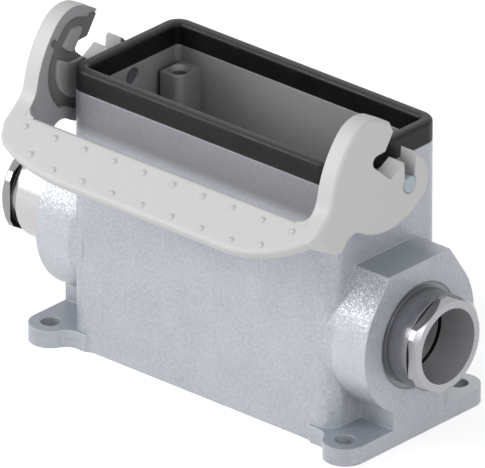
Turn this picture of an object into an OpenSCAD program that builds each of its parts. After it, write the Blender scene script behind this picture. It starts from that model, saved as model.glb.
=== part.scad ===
// Surface-mounting housing of a heavy duty rectangular connector, with a profile gasket,
// a hinged locking lever and a metal cable gland at each end.
// X runs along the housing, Y from front to back, and Z up from the mounting surface.
// The origin is the middle of the mounting face. The lever is drawn open, at its rest.

/* [Housing] */
// Length of the body along X
body_length = 93.5; // [92:0.5:98]
// Width of the body along Y
body_width = 43; // [42:0.5:46]
// Height of the metal rim above the mounting face
rim_height = 75.6; // [68:0.2:95]
// Outer radius of the body's upright corners
body_corner = 5; // [4.5:0.1:7]
// Thickness of the side and end walls
wall = 3.5; // [3:0.1:4]
// Thickness of the closed floor
floor_thickness = 4; // [3:0.5:8]

/* [Feet] */
// Distance between the mounting holes along X
foot_pitch_x = 105; // [104:0.5:112]
// Distance between the mounting holes along Y
foot_pitch_y = 45; // [42:0.5:50]
// Diameter of each mounting hole
foot_hole_d = 5.5; // [4:0.1:6.5]
// Outer radius of each foot about its hole
foot_radius = 6; // [5:0.1:8]
// Thickness of the feet
foot_thickness = 5; // [3:0.5:7]
// Radius of the hollow that joins a foot to the side wall
foot_fillet = 4.3; // [2:0.1:5]

/* [End bosses] */
// Height of the cable axis above the mounting face
entry_height = 29.4; // [28:0.1:34]
// Outer radius of the round boss
boss_radius = 21.7; // [20:0.1:23]
// Height of the boss's flat crown above the cable axis
crown_rise = 21; // [19:0.1:24]
// Half the width of the flat crown
crown_half_width = 12; // [9:0.5:14]
// Half the width of the neck between the boss and the feet
neck_half_width = 10; // [8:0.5:14]
// Radius of the screwed entry in each boss
entry_radius = 14.15; // [13.5:0.05:15]
// Depth of the lead-in at the entry's mouth
entry_lead_in = 0.8; // [0.4:0.1:1.5]

/* [Insert posts] */
// Distance between the insert's screws along X
insert_pitch_x = 77.5; // [75:0.5:78]
// Distance between the insert's screws along Y
insert_pitch_y = 27; // [25:0.5:28]
// Depth of the posts' tops below the rim
post_drop = 4.6; // [3:0.1:8]
// Half the size of a post along X
post_half = 3.6; // [3.4:0.1:4]
// Radius of a post's free corner
post_corner = 2.4; // [1:0.1:3]
// Radius of the screw hole in a post
post_hole_radius = 2; // [1.6:0.05:2.2]
// Depth of the screw hole in a post
post_hole_depth = 14; // [8:1:30]
// Radius of the dish at the top of the screw hole
post_dish_radius = 3.2; // [2.6:0.1:3.3]

/* [Gasket] */
// Height of the rubber above the rim
gasket_height = 6.4; // [4:0.1:8]
// Radius of the gasket's upper edges
gasket_edge = 1.3; // [0.6:0.1:1.4]
// Width of the tongue on the rim that holds the gasket
tongue_width = 1.2; // [0.8:0.1:1.4]
// Height of that tongue
tongue_height = 2.6; // [1.5:0.1:3]

/* [Pivot pins] */
// Depth of the pivot axis below the rim
pivot_drop = 3.3; // [3:0.1:6]
// Radius of the pin where the lever turns on it
pin_radius = 2.45; // [2:0.05:2.8]
// Radius of the pin's shoulder against the wall
shoulder_radius = 4.2; // [3.4:0.1:5]
// Depth of the pin's inner end below the wall's inner face
pin_sunk = 0.8; // [0.2:0.1:1.5]
// Length by which the pin stands out of the lever
pin_proud = 0.3; // [0.1:0.1:1]

/* [Lever cheeks] */
// Space between the end wall and the lever's cheek
lever_gap = 2.85; // [2:0.05:4]
// Thickness of each cheek along X
cheek_thickness = 5.4; // [4.6:0.1:7]
// Radius of the cheek's long outer edge about the pivot
lever_radius = 31; // [30:0.1:33]
// Radius of the round end of the horn
horn_radius = 9.2; // [8:0.1:10]
// Radius of the round hub about the pivot
hub_radius = 8; // [7.8:0.1:8.5]
// Radius of the broad heel under the jaw
heel_radius = 19.2; // [17.5:0.1:19.3]
// Radius of the toe at the lower front
toe_radius = 2.9; // [2.2:0.1:3.4]
// Radius of the hollow between toe and heel
notch_radius = 4.3; // [3.6:0.1:5]
// Radius of the moulded edges
edge_round = 1.1; // [0.6:0.1:1.3]
// Width of the slot above the pin seat
slot_width = 3.8; // [3.2:0.1:4.2]
// Depth of the sunk field on a cheek's inner face
field_depth = 1; // [0.6:0.1:2]
// Width of the raised border round that field
field_border = 3.3; // [2.5:0.1:4]

/* [Lever handle] */
// Slope of the finger strip below level
handle_slope = 38.5; // [34:0.5:44]
// Distance from the pivot to the plane of the strip's face
handle_offset = 21.3; // [20:0.1:23]
// Distance along the slope from the pivot's foot to the strip's upper edge
handle_start = 27.8; // [27:0.1:30]
// Length of the strip down the slope
handle_length = 14.5; // [14.3:0.1:18]
// Thickness of the strip
handle_thickness = 3.2; // [2.6:0.1:4]
// Radius of the strip's long lower corner at the right end
handle_sweep = 35.5; // [35:0.5:40]
// Radius where that corner meets the right cheek
handle_corner = 5.5; // [4.5:0.1:5.8]
// Radius of the strip's fuller lower corner at the left end
left_sweep = 58; // [50:1:70]
// Radius where that corner meets the left cheek
left_corner = 7; // [5:0.5:8]
// Radius that rounds off the right cheek's nose, seen square to the strip
nose_round = 5.8; // [5:0.1:6]
// Radius of the hollow between the strip's upper edge and a cheek
strip_rise = 3; // [2:0.1:4]
// Radius of the hollow that joins the strip to the cheeks
blend_radius = 8; // [6:0.1:10]
// Radius of each grip bump
bump_radius = 1; // [0.7:0.05:1.3]
// Distance between the bumps
bump_pitch = 10.5; // [8:0.1:10.8]

/* [Cable glands] */
// Length of the right gland body outside its boss
right_collar = 7.2; // [6:0.1:12]
// Length of the left gland body outside its boss
left_collar = 17.6; // [14:0.1:22]
// Outer radius of the collar
collar_radius = 13.4; // [13.2:0.05:13.45]
// Radius of the cable's way through the gland
cable_radius = 10.5; // [9:0.1:10.8]
// Thickness of the hollow shank that screws into the body
shank_wall = 1.6; // [1.3:0.1:1.7]
// Length of that shank
shank_length = 8.7; // [6:0.1:10]
// Length of the nut's shank left bare between its hexagon and the gland body
neck_gap = 2.4; // [1:0.1:3]
// Thickness of the rubber sealing ring
seal_thickness = 1.1; // [0.8:0.1:2.5]
// Width of the hexagon across its flats
hex_across = 25.2; // [25:0.1:27]
// Width across the small flats that cut the hexagon's corners
corner_across = 27.5; // [27.2:0.1:29]
// Thickness of the hexagon
hex_thickness = 2.95; // [2:0.05:5]

/* [Hidden] */

$fn = 96;
casting_grey = [0.70, 0.73, 0.78];
lever_grey = [0.82, 0.82, 0.83];
nickel = [0.62, 0.62, 0.64];
rubber = [0.08, 0.08, 0.08];

// Clearance of a running fit, of a still fit and of an axial gap
running = 0.08;
still = 0.02;
end_play = 0.3;

// A little more than the solid to be cut
over = 1;

inner_length = body_length - 2 * wall;
inner_width = body_width - 2 * wall;
inner_corner = body_corner - wall;
end_x = foot_pitch_x / 2 + foot_radius;
pivot_z = rim_height - pivot_drop;
post_top = rim_height - post_drop;
cheek_inner = body_length / 2 + lever_gap;
cheek_outer = cheek_inner + cheek_thickness;
thread_radius = entry_radius - 0.1;
shank_radius = cable_radius + shank_wall;

// Outlines are lists of [centre, radius]. Each circle joins the next by a straight tangent,
// a negative radius makes a hollow, and a radius of 0 makes a sharp corner.

// Point at angle a on a circle
function polar(c, r, a) = c + r * [cos(a), sin(a)];

// Angle of the outward normal of the tangent from circle p to circle q, both counter-clockwise
function tangent(p, q) =
    let (d = q[0] - p[0], ratio = (p[1] - q[1]) / norm(d))
    atan2(d.y, d.x) - acos(min(1, max(-1, ratio)));

// Turn from angle a to angle b, forwards for a round and backwards for a hollow
function turn(a, b, r) = r > 0 ? (b - a + 720) % 360 : -((a - b + 720) % 360);

// Number of steps that keeps an arc smooth
function steps(r, sweep) = max(2, ceil(abs(sweep) / 14), ceil(abs(r * sweep) * PI / 180 / 1.5));

// Points of one circle's share of the outline
function share(c, before, after) =
    c[1] == 0 ? [c[0]]
    : let (sweep = turn(before, after, c[1]), n = steps(c[1], sweep))
      [for (i = [0 : n]) polar(c[0], c[1], before + sweep * i / n)];

function outline(chain) =
    let (n = len(chain), t = [for (i = [0 : n - 1]) tangent(chain[i], chain[(i + 1) % n])])
    [for (i = [0 : n - 1]) each share(chain[i], t[(i + n - 1) % n], t[i])];

// Centre of a circle that lies r0 from c0 and r1 from c1, to the left of the way from c0 to c1
function meet(c0, r0, c1, r1) =
    let (d = c1 - c0, l = norm(d), a = (l * l + r0 * r0 - r1 * r1) / (2 * l))
    c0 + d / l * a + [-d.y, d.x] / l * sqrt(r0 * r0 - a * a);

// Outline points moved inwards by a distance
function unit(v) = v / max(norm(v), 1e-9);
function inward(p, q) = let (d = unit(q - p)) [-d.y, d.x];
function inset(points, distance) =
    let (n = len(points))
    [for (i = [0 : n - 1])
        let (a = inward(points[(i + n - 1) % n], points[i]), b = inward(points[i], points[(i + 1) % n]))
        points[i] + distance * (a + b) / (1 + a * b)];

// Drops points that repeat the one before them
function distinct(points) =
    let (n = len(points))
    [for (i = [0 : n - 1]) if (norm(points[i] - points[(i + n - 1) % n]) > 0.01) points[i]];

// Numbers of all the points of a list
function numbers(points) = [for (i = [0 : len(points) - 1]) i];

// Plate with a rounded edge round its upper face, standing on z = 0. Each fan is [centre, point
// numbers]: the faces are laid out from those centres, which must see all the points they name.
module rounded_plate(points, thickness, radius, fans) {
    rings = concat([[0, 0]], [for (a = [0 : 22.5 : 90])
        [radius * (1 - cos(a)), thickness - radius + radius * sin(a)]]);
    n = len(points);
    last = (len(rings) - 1) * n;
    stack = [for (ring = rings) each [for (p = inset(points, ring[0])) [p.x, p.y, ring[1]]]];
    centres = [for (z = [0, thickness]) each [for (fan = fans) [fan[0].x, fan[0].y, z]]];
    sides = [for (k = [0 : len(rings) - 2], i = [0 : n - 1])
        [k * n + i, (k + 1) * n + i, (k + 1) * n + (i + 1) % n, k * n + (i + 1) % n]];
    base = [for (f = [0 : len(fans) - 1]) let (fan = fans[f][1], m = len(fan))
        each [for (j = [0 : m - 1]) [fan[j], fan[(j + 1) % m], last + n + f]]];
    top = [for (f = [0 : len(fans) - 1]) let (fan = fans[f][1], m = len(fan))
        each [for (j = [0 : m - 1]) [last + fan[(j + 1) % m], last + fan[j], last + n + len(fans) + f]]];
    polyhedron(concat(stack, centres), concat(sides, base, top), convexity = 6);
}

// Rectangle with true round corners
module rounded_rect(length, width, radius) {
    square([length - 2 * radius, width], center = true);
    square([length, width - 2 * radius], center = true);
    for (x = [-1, 1], y = [-1, 1])
        translate([x * (length / 2 - radius), y * (width / 2 - radius)]) circle(radius);
}

// Ring round a rounded rectangle. The section's outer face lies on x = 0, its depth on -x.
module swept_ring(length, width, corner) {
    for (k = [0 : 3]) {
        half = k % 2 == 0 ? length / 2 : width / 2;
        run = (k % 2 == 0 ? width : length) - 2 * corner;
        rotate([0, 0, 90 * k]) {
            translate([half, run / 2, 0]) rotate([90, 0, 0]) linear_extrude(run) children();
            translate([half - corner, run / 2, 0])
                rotate_extrude(angle = 90) translate([corner, 0]) children();
        }
    }
}

// Turns a shape drawn in X and Y so that it lies in Y and Z and rises along X
module along_x(from = 0) {
    translate([from, 0, 0]) rotate([90, 0, 90]) children();
}

module each_end() {
    for (side = [0, 1]) mirror([side, 0, 0]) children();
}

// Housing

module foot_plate() {
    offset(r = -foot_fillet) offset(delta = foot_fillet) {
        rounded_rect(body_length, body_width, body_corner);
        each_end() {
            translate([body_length / 2 - body_corner, -foot_pitch_y / 2])
                square([end_x - body_length / 2 + body_corner, foot_pitch_y]);
            for (side = [-1, 1]) hull() {
                translate([foot_pitch_x / 2, side * foot_pitch_y / 2]) circle(foot_radius);
                translate([end_x - foot_radius, 0]) circle(foot_radius);
            }
        }
    }
}

module boss_section() {
    reach = norm([crown_half_width, crown_rise]);
    shoulder = atan2(crown_rise, crown_half_width) - acos(min(1, boss_radius / reach));
    touch = polar([0, 0], boss_radius, shoulder);
    translate([0, entry_height]) {
        circle(boss_radius);
        polygon([[-touch.x, touch.y], [0, 0], touch,
                 [crown_half_width, crown_rise], [-crown_half_width, crown_rise]]);
    }
    translate([-neck_half_width, 0]) square([2 * neck_half_width, entry_height]);
}

module end_boss() {
    inner_end = body_length / 2 - body_corner;
    along_x(inner_end) linear_extrude(end_x - inner_end) boss_section();
}

module entry_bore() {
    inner_end = inner_length / 2 - over;
    translate([inner_end, 0, entry_height]) rotate([0, 90, 0])
        cylinder(r = entry_radius, h = end_x - inner_end + over);
    translate([end_x - entry_lead_in, 0, entry_height]) rotate([0, 90, 0])
        cylinder(r1 = entry_radius, r2 = entry_radius + entry_lead_in + over, h = entry_lead_in + over);
}

module insert_post() {
    near_y = insert_pitch_y / 2 - post_half - 0.5;
    difference() {
        translate([0, 0, floor_thickness - 0.5]) linear_extrude(post_top - floor_thickness + 0.5)
            difference() {
                translate([insert_pitch_x / 2 - post_half, near_y])
                    square([2 * post_half - 0.4, inner_width / 2 + 0.5 - near_y]);
                translate([insert_pitch_x / 2 - post_half, near_y]) difference() {
                    square(2 * post_corner, center = true);
                    translate([post_corner, post_corner]) circle(post_corner);
                }
            }
        translate([insert_pitch_x / 2, insert_pitch_y / 2, post_top]) {
            translate([0, 0, -post_hole_depth]) cylinder(r = post_hole_radius, h = post_hole_depth + over);
            translate([0, 0, post_hole_radius - post_dish_radius])
                cylinder(r1 = post_hole_radius, r2 = post_dish_radius + over,
                         h = post_dish_radius - post_hole_radius + over);
        }
    }
}

module shell() {
    difference() {
        union() {
            linear_extrude(rim_height) rounded_rect(body_length, body_width, body_corner);
            linear_extrude(foot_thickness) foot_plate();
            each_end() end_boss();
        }
        translate([0, 0, floor_thickness]) linear_extrude(rim_height)
            rounded_rect(inner_length, inner_width, inner_corner);
    }
}

// The entries and pin holes are cut last, so that a post never closes them
module housing() color(casting_grey) {
    difference() {
        union() {
            shell();
            each_end() for (side = [0, 1]) mirror([0, side, 0]) insert_post();
        }
        for (x = [-1, 1], y = [-1, 1])
            translate([x * foot_pitch_x / 2, y * foot_pitch_y / 2, -over])
                cylinder(d = foot_hole_d, h = foot_thickness + 2 * over);
        each_end() {
            entry_bore();
            translate([inner_length / 2 - over, 0, pivot_z]) rotate([0, 90, 0])
                cylinder(r = pin_radius, h = wall + 2 * over);
        }
    }
    translate([0, 0, rim_height]) swept_ring(body_length, body_width, body_corner)
        translate([-(wall + tongue_width) / 2, -0.2]) square([tongue_width, tongue_height + 0.2]);
}

// Gasket

module gasket_section() {
    groove = tongue_width + 2 * still;
    difference() {
        union() {
            translate([-wall, 0]) square([wall, gasket_height - gasket_edge]);
            translate([gasket_edge - wall, 0]) square([wall - 2 * gasket_edge, gasket_height]);
            for (x = [-gasket_edge, gasket_edge - wall])
                translate([x, gasket_height - gasket_edge]) circle(gasket_edge);
        }
        translate([-(wall + groove) / 2, -over]) square([groove, tongue_height + still + over]);
    }
}

module gasket() color(rubber)
    translate([0, 0, rim_height]) swept_ring(body_length, body_width, body_corner) gasket_section();

// Lever, drawn about its pivot: y towards the back, z up

// Point on the handle's plane: along is measured down the slope, out away from the pivot
function on_handle(along, out) =
    [-cos(handle_slope), -sin(handle_slope)] * along + [-sin(handle_slope), cos(handle_slope)] * out;

hub = [0, 0];
horn_centre = polar(hub, lever_radius - horn_radius, 137);
horn_tip = [-6.3, 18.3];
horn_shoulder = [-7.4, 20.6];
block_tip = [2.6, 8.6];
heel_centre = [-8.2, 8.2];
toe_centre = [-27.5, -8];
nose_radius = edge_round + 0.4;
blend_reach = lever_radius + blend_radius;
blend_centre = on_handle(sqrt(blend_reach ^ 2 - (handle_offset + blend_radius) ^ 2),
                         handle_offset + blend_radius);
nose_centre = on_handle(handle_start + 3.9, handle_offset - nose_radius);
notch_centre = meet(heel_centre, heel_radius + notch_radius, toe_centre, toe_radius + notch_radius);

cheek_outline = distinct(outline([
    [hub, hub_radius], [block_tip, 0], [horn_tip, 0], [horn_shoulder, 0],
    [horn_centre, horn_radius], [hub, lever_radius], [blend_centre, -blend_radius],
    [nose_centre, nose_radius], [toe_centre, toe_radius], [notch_centre, -notch_radius],
    [heel_centre, heel_radius]]));

cheek_fans = [[[-18, 3], numbers(cheek_outline)]];

// The hollow of the jaw, the peak beside it and the slot down to the pin seat
jaw_outline = distinct(outline([
    [block_tip, 0], [block_tip + [4, 10], 0], [horn_tip + [5, 9], 0], [horn_tip, 0],
    [[-9.8, 13.1], 0], [[-12.75, 11.1], 1.85], [[-7.7, 4.2], 0], [[-2.2, 7.2], 0],
    [[-slot_width / 2, 2], 0], [[slot_width / 2, 2], 0]]));

// Sunk field on the inner face. It follows the outer edge, opens into the jaw, and runs round
// two raised pads. A short channel leads from it to the outer edge.
pad_centre = [-12.5, 6.5];
pad_radius = 9.7;
field_shelf = [[-26, 12.6], [-21.6, 10.3], [-19.3, 9], [-16.8, 7.8], [-14.4, 7.8], [-11.8, 8]];

module above_shelf() {
    polygon(concat(field_shelf, [[-2, 8], [-2, lever_radius], [-lever_radius, lever_radius],
                                 [-lever_radius, 12.6]]));
}

module field_outline() {
    offset(delta = -field_border) {
        polygon(cheek_outline);
        polygon([[-13.5, 23.9], [-14, 9], [-9, 4], [-1.8, 4], [-1.8, 22.6]]);
    }
}

module cheek_field() {
    difference() {
        intersection() {
            field_outline();
            union() {
                above_shelf();
                translate(pad_centre) circle(pad_radius + 4);
            }
        }
        difference() {
            hull() {
                circle(hub_radius - 1);
                translate(pad_centre) circle(pad_radius);
            }
            above_shelf();
        }
        polygon([[-7.7, 4.2], [-11.8, 8], [-2, 9.5], [4, 9.5], [4, -9], [-6, -9]]);
        polygon(outline([[[-16.6, 11.6], 0.6], [[-13.8, 16.3], 1.1], [[-15.6, 16.2], 1.3],
                         [[-19, 13.2], 0.7]]));
    }
    channel_end = polar(hub, lever_radius - 2.2, 146);
    hull() {
        translate(channel_end) circle(1.1, $fn = 32);
        translate([-19.5, 11.5]) circle(1, $fn = 32);
    }
}

module cheek() {
    difference() {
        along_x(cheek_inner) rounded_plate(cheek_outline, cheek_thickness, edge_round, cheek_fans);
        along_x(cheek_inner - over) {
            linear_extrude(cheek_thickness + 2 * over) polygon(jaw_outline);
            cylinder(r = pin_radius + running, h = cheek_thickness + 2 * over);
            linear_extrude(field_depth + over) cheek_field();
        }
    }
}

// The strip's own outline: x along the lever, y up the slope from its upper edge. Its ends reach
// into the cheeks and stop just short of their outer faces.
strip_end_x = cheek_outer - 0.7;
sweep_inset = 25.3;
sweep_x = strip_end_x - sweep_inset;

// Height of the centre of a corner circle that meets a long corner of radius sweep from inside
function corner_y(sweep, corner) = sweep - handle_length
    - sqrt((sweep - corner) ^ 2 - (strip_end_x - corner - sweep_x) ^ 2);

strip_outline = distinct(outline([
    [[-sweep_x, left_sweep - handle_length], left_sweep],
    [[sweep_x, handle_sweep - handle_length], handle_sweep],
    [[strip_end_x - handle_corner, corner_y(handle_sweep, handle_corner)], handle_corner],
    [[strip_end_x, 0], 0], [[-strip_end_x, 0], 0],
    [[left_corner - strip_end_x, corner_y(left_sweep, left_corner)], left_corner]]));
strip_fans = [[[0, -handle_length / 2], numbers(strip_outline)]];

// Hollow corner between the strip's upper edge and a cheek
module strip_fillet() {
    linear_extrude(handle_thickness - 0.5) difference() {
        translate([cheek_inner - strip_rise, -2]) square([strip_rise + 0.6, strip_rise + 2]);
        translate([cheek_inner - strip_rise, strip_rise]) circle(strip_rise);
    }
}

// Places a shape drawn like the strip's outline, rising out of the strip's lower face
module on_strip(depth) {
    start = on_handle(handle_start, handle_offset - depth);
    translate([0, start.x, start.y]) rotate([handle_slope, 0, 0]) children();
}

module grip_bumps() {
    upper_row = [for (k = [-4.5 : 1 : 4.5]) [k * bump_pitch, -3.25]];
    lower_row = [for (k = [-3 : 1 : 3]) [k * bump_pitch, -11.7]];
    end_bumps = [for (side = [-1, 1]) [side * 3.88 * bump_pitch, -9.9]];
    for (p = concat(upper_row, lower_row, end_bumps))
        translate([p.x, p.y, -0.4 * bump_radius]) sphere(bump_radius, $fn = 20);
}

// What is cut from the right cheek's nose, so that it follows the strip's corner
module nose_cut() {
    centre = [cheek_outer + 0.1 - nose_round, -0.9];
    translate([0, 0, -16]) linear_extrude(20) difference() {
        translate([centre.x, centre.y - 8]) square([nose_round + over, 8]);
        translate(centre) circle(nose_round);
    }
}

module lever() color(lever_grey) translate([0, 0, pivot_z]) {
    mirror([1, 0, 0]) cheek();
    difference() {
        cheek();
        on_strip(0) nose_cut();
    }
    on_strip(handle_thickness)
        rounded_plate(strip_outline, handle_thickness + 0.04, edge_round, strip_fans);
    on_strip(handle_thickness - 0.2) each_end() strip_fillet();
    on_strip(0) grip_bumps();
}

// Pivot pins

module pivot_pin() {
    wall_face = body_length / 2;
    translate([0, 0, pivot_z]) rotate([0, 90, 0]) rotate_extrude() polygon([
        [0, wall_face - wall + pin_sunk], [pin_radius - still, wall_face - wall + pin_sunk],
        [pin_radius - still, wall_face], [shoulder_radius, wall_face],
        [shoulder_radius, cheek_inner - end_play], [pin_radius, cheek_inner - end_play],
        [pin_radius, cheek_outer + pin_proud - 0.3], [pin_radius - 0.3, cheek_outer + pin_proud],
        [0, cheek_outer + pin_proud]]);
}

module left_pivot_pin() color(casting_grey) mirror([1, 0, 0]) pivot_pin();
module right_pivot_pin() color(casting_grey) pivot_pin();

// Cable glands, drawn for the right end

module gland_body(collar) {
    inner_end = inner_length / 2 + 0.8;
    mouth = end_x + collar - neck_gap;
    seat = end_x + collar - shank_length - seal_thickness;
    ledge = end_x - 2.4;
    translate([0, 0, entry_height]) rotate([0, 90, 0]) rotate_extrude() polygon([
        [cable_radius, inner_end], [thread_radius - 0.8, inner_end],
        [thread_radius, inner_end + 0.8], [thread_radius, ledge - 0.4],
        [thread_radius - 0.4, ledge], [collar_radius, ledge],
        [collar_radius, mouth - 0.5], [collar_radius - 0.5, mouth],
        [shank_radius + still, mouth], [shank_radius + still, seat], [cable_radius, seat]]);
}

module seal_ring(collar) {
    outer_face = end_x + collar - shank_length;
    translate([outer_face - seal_thickness, 0, entry_height]) rotate([0, 90, 0]) difference() {
        cylinder(r = shank_radius, h = seal_thickness);
        translate([0, 0, -over]) cylinder(r = cable_radius, h = seal_thickness + 2 * over);
    }
}

// The corners of the hexagon are turned back at 45 degrees from a face just inside the flats
module gland_nut(collar) {
    mouth = end_x + collar;
    face_radius = hex_across / 2 - 0.1;
    translate([mouth, 0, entry_height]) rotate([0, 90, 0]) difference() {
        union() {
            translate([0, 0, -shank_length]) cylinder(r = shank_radius, h = shank_length + 0.5);
            intersection() {
                cylinder(d = hex_across / cos(30), h = hex_thickness, $fn = 6);
                rotate([0, 0, 30]) cylinder(d = corner_across / cos(30), h = hex_thickness, $fn = 6);
                cylinder(r1 = face_radius + hex_thickness, r2 = face_radius, h = hex_thickness);
            }
        }
        translate([0, 0, -shank_length - over])
            cylinder(r = cable_radius, h = shank_length + hex_thickness + 2 * over);
    }
}

module right_gland_body() color(nickel) gland_body(right_collar);
module right_seal_ring() color(rubber) seal_ring(right_collar);
module right_gland_nut() color(nickel) gland_nut(right_collar);
module left_gland_body() color(nickel) mirror([1, 0, 0]) gland_body(left_collar);
module left_seal_ring() color(rubber) mirror([1, 0, 0]) seal_ring(left_collar);
module left_gland_nut() color(nickel) mirror([1, 0, 0]) gland_nut(left_collar);

housing();
gasket();
lever();
left_pivot_pin();
right_pivot_pin();
right_gland_body();
right_seal_ring();
right_gland_nut();
left_gland_body();
left_seal_ring();
left_gland_nut();
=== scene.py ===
"""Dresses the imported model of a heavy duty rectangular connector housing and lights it.

The casting, the rubber seals, the locking lever, the pivot pins and the cable glands are
sub-assemblies. Each is a class that builds or dresses its own pieces. Lengths are metres
unless a name says millimetres. The lengths that are given to an effect are millimetres too.
"""
import logging
import math
from dataclasses import dataclass, field
from enum import Enum

import bmesh
import bpy
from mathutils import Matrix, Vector


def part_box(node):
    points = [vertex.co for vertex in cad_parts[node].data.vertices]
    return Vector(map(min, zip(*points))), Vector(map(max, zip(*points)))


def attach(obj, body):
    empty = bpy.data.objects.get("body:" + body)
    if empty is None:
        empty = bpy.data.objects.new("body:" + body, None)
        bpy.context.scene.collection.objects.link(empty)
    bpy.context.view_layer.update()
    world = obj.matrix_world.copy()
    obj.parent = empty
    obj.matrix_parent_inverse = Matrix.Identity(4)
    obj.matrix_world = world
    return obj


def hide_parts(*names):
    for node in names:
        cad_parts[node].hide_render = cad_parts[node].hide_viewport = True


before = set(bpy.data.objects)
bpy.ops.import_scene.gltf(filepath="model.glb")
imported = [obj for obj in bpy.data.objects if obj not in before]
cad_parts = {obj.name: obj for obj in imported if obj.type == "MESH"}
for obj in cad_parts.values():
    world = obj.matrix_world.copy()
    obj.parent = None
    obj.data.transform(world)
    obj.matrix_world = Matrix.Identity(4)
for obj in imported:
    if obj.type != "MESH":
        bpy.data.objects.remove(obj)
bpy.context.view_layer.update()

LOG = logging.getLogger("connector")

Colour = tuple[float, float, float]
Socket = bpy.types.NodeSocket
Node = bpy.types.Node
Tree = bpy.types.ShaderNodeTree
Outputs = bpy.types.bpy_prop_collection

MM = 0.001
BLACK: Colour = (0.0, 0.0, 0.0)
WHITE: Colour = (1.0, 1.0, 1.0)
WELD_MM = 0.004
SHARP_DEGREES = 31.0
BROAD_FACES_LEAD = 100


class Side(Enum):
    """The two ends of the housing, with the sign of their X."""

    LEFT = -1
    RIGHT = 1

    def piece(self, name: str) -> str:
        """Returns the full name of this end's piece, such as left_gland_nut."""
        return f"{self.name.lower()}_{name}"


# Node trees


class Wiring:
    """A node tree with short calls to add nodes and join them."""

    def __init__(self, tree: bpy.types.NodeTree) -> None:
        """Wraps the node tree to build in."""
        self.tree = tree

    def add(self, kind: str, inputs: dict[str | int, object] | None = None,
            **settings: object) -> Node:
        """Adds a node, sets its properties, and sets or links its inputs.

        Args:
            kind: The node's type without its prefix, such as "Math".
            inputs: Input name or number to a constant or to a socket that feeds it.
            **settings: Properties of the node, such as operation="ADD".

        Returns:
            The new node.
        """
        prefix = "" if kind.startswith("Node") else "ShaderNode"
        node = self.tree.nodes.new(prefix + kind)
        for name, value in settings.items():
            setattr(node, name, value)
        for key, value in (inputs or {}).items():
            self.feed(node.inputs[key], value)
        return node

    def feed(self, target: Socket, value: object) -> None:
        """Links a socket to an input, or sets a constant on it.

        Args:
            target: The input.
            value: A socket or a constant.
        """
        if isinstance(value, bpy.types.NodeSocket):
            self.tree.links.new(value, target)
        else:
            target.default_value = value

    def join(self, node: Node, feeds: dict[str, Socket]) -> None:
        """Links each socket to the node's input of that name."""
        for key, socket in feeds.items():
            self.tree.links.new(socket, node.inputs[key])

    def math(self, operation: str, first: object, second: object = 0.0, clamp: bool = False) -> Socket:
        """Adds a Math node on two values or sockets, and returns its result."""
        return self.add("Math", {0: first, 1: second}, operation=operation, use_clamp=clamp).outputs[0]

    def product(self, *factors: object) -> Socket:
        """Multiplies two or more values.

        Args:
            *factors: Values or sockets.

        Returns:
            The product's socket.
        """
        result, *rest = factors
        for factor in rest:
            result = self.math("MULTIPLY", result, factor)
        return result

    def invert(self, value: Socket) -> Socket:
        """Returns one less the value."""
        return self.math("SUBTRACT", 1.0, value)

    def ramp(self, value: Socket, low: float, high: float) -> Socket:
        """Maps the values from low to high to 0 to 1, and returns the result."""
        return self.add("MapRange", {0: value, 1: low, 2: high}).outputs[0]

    def blend(self, share: Socket, first: object, second: object) -> Socket:
        """Mixes two colours.

        Args:
            share: Share of the second colour.
            first: First colour or socket.
            second: Second colour or socket.

        Returns:
            The mixed colour's socket.
        """
        node = self.add("Mix", {0: share}, data_type="RGBA", clamp_factor=True)
        for index, value in ((6, first), (7, second)):
            self.feed(node.inputs[index], (*value, 1.0) if isinstance(value, tuple) else value)
        return node.outputs[2]

    def bump(self, strength: float, rise_mm: float, height: Socket,
             normal: Socket | None = None) -> Socket:
        """Adds a Bump node.

        Args:
            strength: The bump's strength.
            rise_mm: Rise of a full height in millimetres.
            height: The height's socket.
            normal: The normal to start from, if it isn't the surface's own.

        Returns:
            The bumped normal's socket.
        """
        start = {} if normal is None else {"Normal": normal}
        inputs = {"Strength": strength, "Distance": rise_mm * MM, "Height": height, **start}
        return self.add("Bump", inputs).outputs[0]

    def places(self) -> Outputs:
        """Returns the place on the piece as X, Y and Z in millimetres."""
        place = self.add("TexCoord").outputs["Object"]
        scaled = self.add("VectorMath", {0: place, "Scale": 1.0 / MM}, operation="SCALE")
        return self.add("SeparateXYZ", {0: scaled.outputs[0]}).outputs

    def seen(self) -> Socket:
        """Returns 1 for camera, glossy and transmission rays, and 0 for rays that only light."""
        path = self.add("LightPath").outputs
        seen = self.math("MAXIMUM", path["Is Camera Ray"], path["Is Glossy Ray"])
        return self.math("MAXIMUM", seen, path["Is Transmission Ray"])

    def effect(self, kind: type["Effect"], **values: float) -> Outputs:
        """Places an effect and sets its inputs.

        Args:
            kind: The effect.
            **values: Input name to value.

        Returns:
            The effect's outputs.
        """
        node = self.add("Group", node_tree=kind.group())
        for key, value in values.items():
            node.inputs[key].default_value = value
        return node.outputs


class Effect:
    """A shader node group that is built once and placed in each material that needs it."""

    _groups: dict[str, Tree] = {}

    @classmethod
    def group(cls) -> Tree:
        """Returns the effect's group, built on the first call."""
        if cls.__name__ not in cls._groups:
            cls._groups[cls.__name__] = cls._build()
        return cls._groups[cls.__name__]

    @classmethod
    def _build(cls) -> Tree:
        """Builds the group, which each effect does in its own way."""
        raise NotImplementedError


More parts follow.
